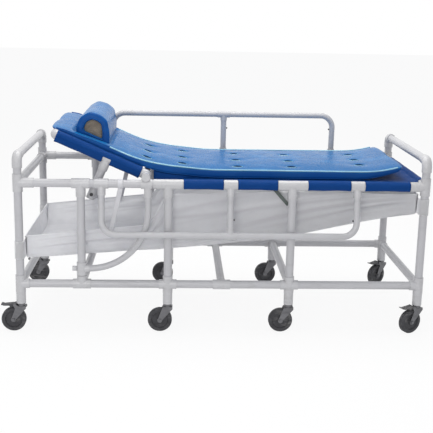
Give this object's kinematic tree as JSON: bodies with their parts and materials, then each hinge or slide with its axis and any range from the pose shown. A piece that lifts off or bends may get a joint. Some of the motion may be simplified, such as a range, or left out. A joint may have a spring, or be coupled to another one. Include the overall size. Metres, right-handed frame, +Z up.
{
  "type": "stretcher trolley",
  "caption": "Pipe-framed shower stretcher trolley with sling, blue pad, bolster pillow, tilting headrest, drop side rails, sloping drain pan and swivel casters.",
  "frame": {"origin": "on the floor, under the middle of the rectangle of the four corner posts", "axes": "+X from head to foot, +Z up, +Y to the side whose rail is raised"},
  "size_m": [2.2274, 0.9423, 1.1352],
  "materials": {
    "pipe": "satin white pipe",
    "pad": "glossy blue vinyl over foam",
    "sling": "dark blue coated fabric",
    "pan": "soft white vinyl sheet",
    "wheel": "matt black",
    "fork": "grey",
    "pedal": "black",
    "studs": "dark"
  },
  "bodies": {
    "frame": {"corner_posts": "pipe", "middle_legs": "pipe", "strut_posts": "pipe", "bed_rails": "pipe", "lower_rails": "pipe", "bed_cross_tubes": "pipe", "lower_cross_tubes": "pipe", "push_handles": "pipe", "handle_elbows": "pipe", "bed_corner_tees": "pipe", "bed_rail_tees": "pipe", "lower_corner_tees": "pipe", "lower_leg_crosses": "pipe", "lower_rail_tees": "pipe", "leg_sleeves": "pipe", "arc_braces": "pipe", "arc_post_tees": "pipe", "hinge_saddles": "pipe", "hinge_bar": "pipe", "hinge_bar_caps": "pipe", "body_sling": "sling", "body_pad": "pad", "drain_pan": "pan", "pan_straps": "pan", "caster_stems": "fork"},
    "front_rail": {"front_rail_tube": "pipe", "front_rail_mid_post": "pipe", "front_rail_pivots": "pipe", "front_rail_studs": "studs"},
    "rear_rail": {"rear_rail_tube": "pipe", "rear_rail_mid_post": "pipe", "rear_rail_pivots": "pipe", "rear_rail_studs": "studs"},
    "headrest": {"headrest_tubes": "pipe", "headrest_fittings": "pipe", "headrest_stems": "pipe", "stem_bolts": "studs", "headrest_sling": "sling", "head_pad": "pad", "pillow": "pad"},
    "caster_1": {"caster_fork_1": "fork"},
    "wheel_1": {"wheel_1": "wheel"},
    "pedal_1": {"brake_pedal_1": "pedal"},
    "caster_2": {"caster_fork_2": "fork"},
    "wheel_2": {"wheel_2": "wheel"},
    "caster_3": {"caster_fork_3": "fork"},
    "wheel_3": {"wheel_3": "wheel"},
    "caster_4": {"caster_fork_4": "fork"},
    "wheel_4": {"wheel_4": "wheel"},
    "pedal_4": {"brake_pedal_4": "pedal"},
    "caster_5": {"caster_fork_5": "fork"},
    "wheel_5": {"wheel_5": "wheel"},
    "pedal_5": {"brake_pedal_5": "pedal"},
    "caster_6": {"caster_fork_6": "fork"},
    "wheel_6": {"wheel_6": "wheel"},
    "caster_7": {"caster_fork_7": "fork"},
    "wheel_7": {"wheel_7": "wheel"},
    "caster_8": {"caster_fork_8": "fork"},
    "wheel_8": {"wheel_8": "wheel"},
    "pedal_8": {"brake_pedal_8": "pedal"}
  },
  "joints": [
    {"name": "front_rail_swing", "type": "hinge", "parent": "frame", "child": "front_rail", "pos_m": [0, -0.425, 0.79], "axis": [-1, 0, 0], "range_deg": [0, 173.48]},
    {"name": "rear_rail_swing", "type": "hinge", "parent": "frame", "child": "rear_rail", "pos_m": [0, 0.425, 0.79], "axis": [-1, 0, 0], "range_deg": [0, 173.48]},
    {"name": "headrest_tilt", "type": "hinge", "parent": "frame", "child": "headrest", "pos_m": [-0.396, 0, 0.82795], "axis": [0, 1, 0], "range_deg": [-23.4, 21.6]},
    {"name": "caster_swivel_1", "type": "hinge", "parent": "frame", "child": "caster_1", "pos_m": [-1.045, -0.425, 0.14], "axis": [0, 0, 1], "continuous": true},
    {"name": "wheel_spin_1", "type": "hinge", "parent": "caster_1", "child": "wheel_1", "pos_m": [-1.085, -0.425, 0.0635], "axis": [0, 1, 0], "continuous": true},
    {"name": "brake_press_1", "type": "hinge", "parent": "caster_1", "child": "pedal_1", "pos_m": [-1.076, -0.425, 0.142], "axis": [0, -1, 0], "range_deg": [0, 12]},
    {"name": "caster_swivel_2", "type": "hinge", "parent": "frame", "child": "caster_2", "pos_m": [-0.282, -0.425, 0.14], "axis": [0, 0, 1], "continuous": true},
    {"name": "wheel_spin_2", "type": "hinge", "parent": "caster_2", "child": "wheel_2", "pos_m": [-0.322, -0.425, 0.0635], "axis": [0, 1, 0], "continuous": true},
    {"name": "caster_swivel_3", "type": "hinge", "parent": "frame", "child": "caster_3", "pos_m": [0.3565, -0.425, 0.14], "axis": [0, 0, 1], "continuous": true},
    {"name": "wheel_spin_3", "type": "hinge", "parent": "caster_3", "child": "wheel_3", "pos_m": [0.3165, -0.425, 0.0635], "axis": [0, 1, 0], "continuous": true},
    {"name": "caster_swivel_4", "type": "hinge", "parent": "frame", "child": "caster_4", "pos_m": [1.045, -0.425, 0.14], "axis": [0, 0, 1], "continuous": true},
    {"name": "wheel_spin_4", "type": "hinge", "parent": "caster_4", "child": "wheel_4", "pos_m": [1.00875, -0.4419, 0.0635], "axis": [-0.4226, 0.9063, 0], "continuous": true},
    {"name": "brake_press_4", "type": "hinge", "parent": "caster_4", "child": "pedal_4", "pos_m": [1.0169, -0.4381, 0.142], "axis": [0.4226, -0.9063, 0], "range_deg": [0, 12]},
    {"name": "caster_swivel_5", "type": "hinge", "parent": "frame", "child": "caster_5", "pos_m": [-1.045, 0.425, 0.14], "axis": [0, 0, 1], "continuous": true},
    {"name": "wheel_spin_5", "type": "hinge", "parent": "caster_5", "child": "wheel_5", "pos_m": [-1.085, 0.425, 0.0635], "axis": [0, 1, 0], "continuous": true},
    {"name": "brake_press_5", "type": "hinge", "parent": "caster_5", "child": "pedal_5", "pos_m": [-1.076, 0.425, 0.142], "axis": [0, -1, 0], "range_deg": [0, 12]},
    {"name": "caster_swivel_6", "type": "hinge", "parent": "frame", "child": "caster_6", "pos_m": [-0.282, 0.425, 0.14], "axis": [0, 0, 1], "continuous": true},
    {"name": "wheel_spin_6", "type": "hinge", "parent": "caster_6", "child": "wheel_6", "pos_m": [-0.322, 0.425, 0.0635], "axis": [0, 1, 0], "continuous": true},
    {"name": "caster_swivel_7", "type": "hinge", "parent": "frame", "child": "caster_7", "pos_m": [0.3565, 0.425, 0.14], "axis": [0, 0, 1], "continuous": true},
    {"name": "wheel_spin_7", "type": "hinge", "parent": "caster_7", "child": "wheel_7", "pos_m": [0.3165, 0.425, 0.0635], "axis": [0, 1, 0], "continuous": true},
    {"name": "caster_swivel_8", "type": "hinge", "parent": "frame", "child": "caster_8", "pos_m": [1.045, 0.425, 0.14], "axis": [0, 0, 1], "continuous": true},
    {"name": "wheel_spin_8", "type": "hinge", "parent": "caster_8", "child": "wheel_8", "pos_m": [1.01223, 0.40206, 0.0635], "axis": [-0.5736, 0.8192, 0], "continuous": true},
    {"name": "brake_press_8", "type": "hinge", "parent": "caster_8", "child": "pedal_8", "pos_m": [1.01961, 0.40722, 0.142], "axis": [0.5736, -0.8192, 0], "range_deg": [0, 12]}
  ]
}
